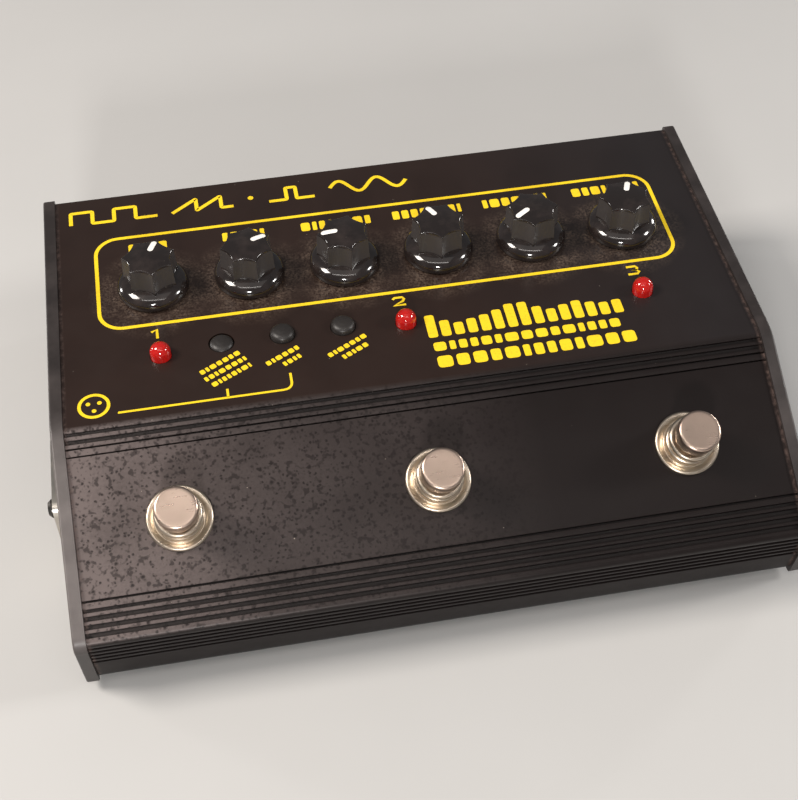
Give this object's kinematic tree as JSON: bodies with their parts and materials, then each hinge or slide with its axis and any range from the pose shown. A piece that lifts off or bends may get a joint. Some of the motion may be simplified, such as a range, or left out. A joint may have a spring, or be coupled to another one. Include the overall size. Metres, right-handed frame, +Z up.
{
  "type": "direct injection box",
  "caption": "Bass preamp and direct injection floor box: wedge-shaped ribbed metal case with rotary controls, footswitches, indicator lamps and push buttons.",
  "frame": {"origin": "under the middle of the box, on the surface that the rubber feet stand on", "axes": "+X to the player's right along the box, +Y to the rear, +Z up; the footswitches face -Y"},
  "size_m": [0.2038, 0.143, 0.0629],
  "materials": {
    "case_black": "black anodised, satin, worn and dusty",
    "cheek_black": "black, satin",
    "black_screw": "blackened",
    "base_steel": "black powder coat",
    "feet_rubber": "matt",
    "pot_steel": "zinc plated",
    "zinc_nut": "zinc plated",
    "switch_nickel": "warm satin nickel",
    "switch_plastic": "moulded",
    "board_green": "solder mask",
    "lamp_red": "clear red moulding",
    "chip_black": "moulded",
    "ribbon_grey": "flat cable",
    "jack_plastic": "glass filled nylon",
    "jack_nickel": "nickel plated",
    "xlr_metal": "satin nickel",
    "pin_gold": "plated",
    "tray_plastic": "moulded ABS",
    "battery_can": "plain jacket",
    "clip_vinyl": "vinyl",
    "shaft_metal": "turned",
    "knob_black": "glossy",
    "button_black": "satin"
  },
  "bodies": {
    "chassis": {"top_shell": "case_black", "left_cheek": "cheek_black", "right_cheek": "cheek_black", "cheek_screws": "black_screw", "base_plate": "base_steel", "base_screws": "black_screw", "rubber_feet": "feet_rubber", "pot_bodies": "pot_steel", "pot_nuts": "zinc_nut", "footswitch_bushings": "switch_nickel", "footswitch_nuts": "zinc_nut", "tact_switches": "switch_plastic", "foot_board": "board_green", "channel_lamps": "lamp_red", "lamp_spacers": "switch_plastic", "push_switches": "switch_plastic", "main_board": "board_green", "board_standoffs": "zinc_nut", "board_screws": "zinc_nut", "board_chips": "chip_black", "ribbon_cable": "ribbon_grey", "input_jack": "jack_plastic", "output_jack": "jack_plastic", "jack_nuts": "jack_nickel", "jack_washers": "jack_nickel", "xlr_shell": "xlr_metal", "xlr_insert": "chip_black", "xlr_pins": "pin_gold", "xlr_screws": "black_screw", "dc_socket": "jack_plastic", "dc_pin": "jack_nickel", "battery_tray": "tray_plastic", "battery": "battery_can", "battery_clip": "clip_vinyl"},
    "knob_1_body": {"knob_1": "knob_black", "knob_shaft_1": "shaft_metal"},
    "knob_2_body": {"knob_2": "knob_black", "knob_shaft_2": "shaft_metal"},
    "knob_3_body": {"knob_3": "knob_black", "knob_shaft_3": "shaft_metal"},
    "knob_4_body": {"knob_4": "knob_black", "knob_shaft_4": "shaft_metal"},
    "knob_5_body": {"knob_5": "knob_black", "knob_shaft_5": "shaft_metal"},
    "knob_6_body": {"knob_6": "knob_black", "knob_shaft_6": "shaft_metal"},
    "footswitch_1": {"footswitch_cap_1": "switch_nickel", "footswitch_clip_1": "zinc_nut"},
    "footswitch_2": {"footswitch_cap_2": "switch_nickel", "footswitch_clip_2": "zinc_nut"},
    "footswitch_3": {"footswitch_cap_3": "switch_nickel", "footswitch_clip_3": "zinc_nut"},
    "button_1": {"push_button_1": "button_black"},
    "button_2": {"push_button_2": "button_black"},
    "button_3": {"push_button_3": "button_black"},
    "door": {"battery_door": "tray_plastic"}
  },
  "joints": [
    {"name": "knob_1_turn", "type": "hinge", "parent": "chassis", "child": "knob_1_body", "pos_m": [-0.06815, 0.0285, 0.0498], "axis": [0, 0, 1], "range_deg": [-128.5, 171.5]},
    {"name": "knob_2_turn", "type": "hinge", "parent": "chassis", "child": "knob_2_body", "pos_m": [-0.04065, 0.0285, 0.0498], "axis": [0, 0, 1], "range_deg": [-87, 213]},
    {"name": "knob_3_turn", "type": "hinge", "parent": "chassis", "child": "knob_3_body", "pos_m": [-0.01315, 0.0285, 0.0498], "axis": [0, 0, 1], "range_deg": [-235.5, 64.5]},
    {"name": "knob_4_turn", "type": "hinge", "parent": "chassis", "child": "knob_4_body", "pos_m": [0.01435, 0.0285, 0.0498], "axis": [0, 0, 1], "range_deg": [-172, 128]},
    {"name": "knob_5_turn", "type": "hinge", "parent": "chassis", "child": "knob_5_body", "pos_m": [0.04185, 0.0285, 0.0498], "axis": [0, 0, 1], "range_deg": [-269, 31]},
    {"name": "knob_6_turn", "type": "hinge", "parent": "chassis", "child": "knob_6_body", "pos_m": [0.06935, 0.0285, 0.0498], "axis": [0, 0, 1], "range_deg": [-129, 171]},
    {"name": "footswitch_1_press", "type": "slide", "parent": "chassis", "child": "footswitch_1", "axis": [0, 0.4368, -0.8996], "range_m": [0, 0.002], "stiffness_N_per_m": 900, "springref_m": -0.004},
    {"name": "footswitch_2_press", "type": "slide", "parent": "chassis", "child": "footswitch_2", "axis": [0, 0.4368, -0.8996], "range_m": [0, 0.002], "stiffness_N_per_m": 900, "springref_m": -0.004},
    {"name": "footswitch_3_press", "type": "slide", "parent": "chassis", "child": "footswitch_3", "axis": [0, 0.4368, -0.8996], "range_m": [0, 0.002], "stiffness_N_per_m": 900, "springref_m": -0.004},
    {"name": "button_1_press", "type": "slide", "parent": "chassis", "child": "button_1", "axis": [0, 0, 1], "range_m": [0, 0.0013]},
    {"name": "button_2_press", "type": "slide", "parent": "chassis", "child": "button_2", "axis": [0, 0, -1], "range_m": [0, 0.0013], "stiffness_N_per_m": 400, "springref_m": -0.002},
    {"name": "button_3_press", "type": "slide", "parent": "chassis", "child": "button_3", "axis": [0, 0, -1], "range_m": [0, 0.0013], "stiffness_N_per_m": 400, "springref_m": -0.002},
    {"name": "battery_door_hinge", "type": "hinge", "parent": "chassis", "child": "door", "pos_m": [0.01305, 0.025, 0.00525], "axis": [0, 1, 0], "range_deg": [0, 95]}
  ]
}
